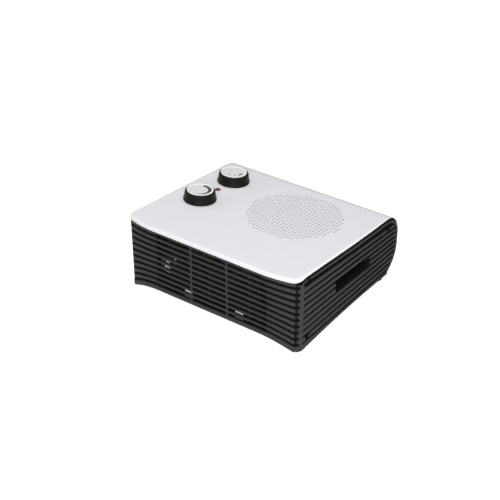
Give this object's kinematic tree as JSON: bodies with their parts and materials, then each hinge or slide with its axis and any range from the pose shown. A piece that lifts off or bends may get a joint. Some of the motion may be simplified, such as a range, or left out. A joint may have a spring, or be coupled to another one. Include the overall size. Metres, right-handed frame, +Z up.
{
  "type": "fan heater",
  "caption": "Flat free-standing fan heater: white sloping cover with a perforated intake and turning dials, black louvred front and ribbed sides with hand recesses.",
  "frame": {"origin": "on the floor, under the middle of the bounding box", "axes": "+X to the right seen from the front, +Y from the outlet to the back, +Z up"},
  "size_m": [0.238, 0.224, 0.1054],
  "materials": {
    "cover_white": "satin moulded",
    "skirt_black": "fine spark-eroded grain",
    "tray_black": "plain moulded",
    "knob_black": "semi-gloss moulded",
    "cap_white": "gloss moulded with printed dial marks",
    "control_plastic": "plain moulded",
    "foot_rubber": "plain",
    "screw_steel": "zinc plated",
    "lens_red": "clear red moulded",
    "lamp_glass": "clear",
    "stack_steel": "stamped laminations",
    "coil_copper": "enamelled winding",
    "bridge_alloy": "die cast",
    "shaft_steel": "ground",
    "rotor_alloy": "turned",
    "wheel_plastic": "plain moulded",
    "scroll_plastic": "plain moulded",
    "duct_steel": "galvanised sheet",
    "mica": "layered mica",
    "rail_steel": "bright sheet",
    "ribbon_alloy": "oxidised resistance ribbon",
    "cutout_ceramic": "ceramic with a metal cap",
    "fuse_case": "plain",
    "terminal_plastic": "plain moulded",
    "gland_plastic": "plain moulded"
  },
  "bodies": {
    "casing": {"top_cover": "cover_white", "intake_grille": "cover_white", "front_grille": "skirt_black", "side_panel_right": "skirt_black", "side_panel_left": "skirt_black", "base_tray": "tray_black", "rubber_feet": "foot_rubber", "side_screws": "screw_steel", "cover_screws": "screw_steel", "thermostat_body": "control_plastic", "selector_switch": "control_plastic", "lamp_lens": "lens_red", "neon_lamp": "lamp_glass", "stator": "stack_steel", "stator_coil": "coil_copper", "bearing_bridge_upper": "bridge_alloy", "bearing_bridge_lower": "bridge_alloy", "fan_scroll": "scroll_plastic", "heat_duct": "duct_steel", "mica_boards": "mica", "element_rails": "rail_steel", "heating_ribbons": "ribbon_alloy", "thermal_cutout": "cutout_ceramic", "thermal_fuse": "fuse_case", "terminal_block": "terminal_plastic", "cord_gland": "gland_plastic"},
    "thermostat_dial": {"thermostat_knob": "knob_black", "thermostat_cap": "cap_white", "thermostat_spindle": "control_plastic"},
    "selector_dial": {"selector_knob": "knob_black", "selector_cap": "cap_white", "selector_spindle": "control_plastic"},
    "fan": {"impeller": "wheel_plastic", "motor_shaft": "shaft_steel", "rotor": "rotor_alloy"}
  },
  "joints": [
    {"name": "thermostat_turn", "type": "hinge", "parent": "casing", "child": "thermostat_dial", "pos_m": [-0.0784, -0.0187, 0.09077], "axis": [0, -0.0872, -0.9962], "range_deg": [0, 270]},
    {"name": "selector_turn", "type": "hinge", "parent": "casing", "child": "selector_dial", "pos_m": [-0.0784, 0.0476, 0.08497], "axis": [0, -0.0872, -0.9962], "range_deg": [0, 135]},
    {"name": "fan_spin", "type": "hinge", "parent": "casing", "child": "fan", "pos_m": [0.0307, 0.0204, 0.024], "axis": [0, 0, 1], "continuous": true}
  ]
}
